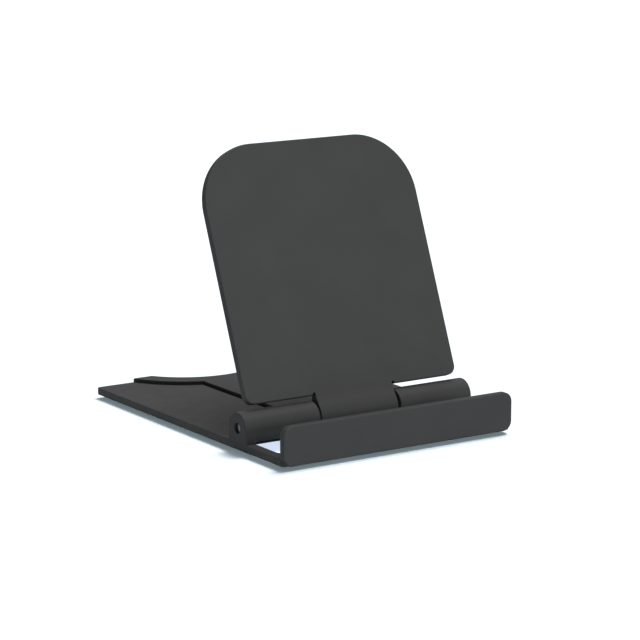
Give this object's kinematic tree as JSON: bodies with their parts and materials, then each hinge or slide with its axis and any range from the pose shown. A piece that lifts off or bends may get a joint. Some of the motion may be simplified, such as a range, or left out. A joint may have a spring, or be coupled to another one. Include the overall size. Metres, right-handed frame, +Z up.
{
  "type": "phone stand",
  "caption": "Folding desk stand for a phone: flat base with a front lip, cable opening and rear thumb notch, and a back panel that turns on a steel pin and is held by friction.",
  "frame": {"origin": "on the desk, under the middle of the base's footprint", "axes": "+X to the right as seen by somebody facing the phone, +Y to the back, +Z up"},
  "size_m": [0.08, 0.108, 0.0849],
  "materials": {
    "moulding": "fine satin moulded black ABS",
    "pin": "black-oxide steel rod, cut and chamfered ends",
    "spring": "spring steel strip, lightly oiled",
    "bush": "black acetal",
    "foot": "matte black rubber"
  },
  "bodies": {
    "base": {"base_plate": "moulding", "spine_plate": "moulding", "hinge_pin": "pin", "barrel_bush_left": "bush", "barrel_bush_right": "bush", "thrust_washer_left": "bush", "thrust_washer_right": "bush", "spring_washer_left": "spring", "spring_washer_right": "spring", "foot_front_left": "foot", "foot_front_right": "foot", "foot_rear_left": "foot", "foot_rear_right": "foot"},
    "panel": {"back_panel": "moulding", "friction_sleeve_left": "spring", "friction_sleeve_right": "spring"}
  },
  "joints": [
    {"name": "panel_hinge", "type": "hinge", "parent": "base", "child": "panel", "pos_m": [0, -0.0292, 0.0076], "axis": [1, 0, 0], "range_deg": [-70, 88]}
  ]
}
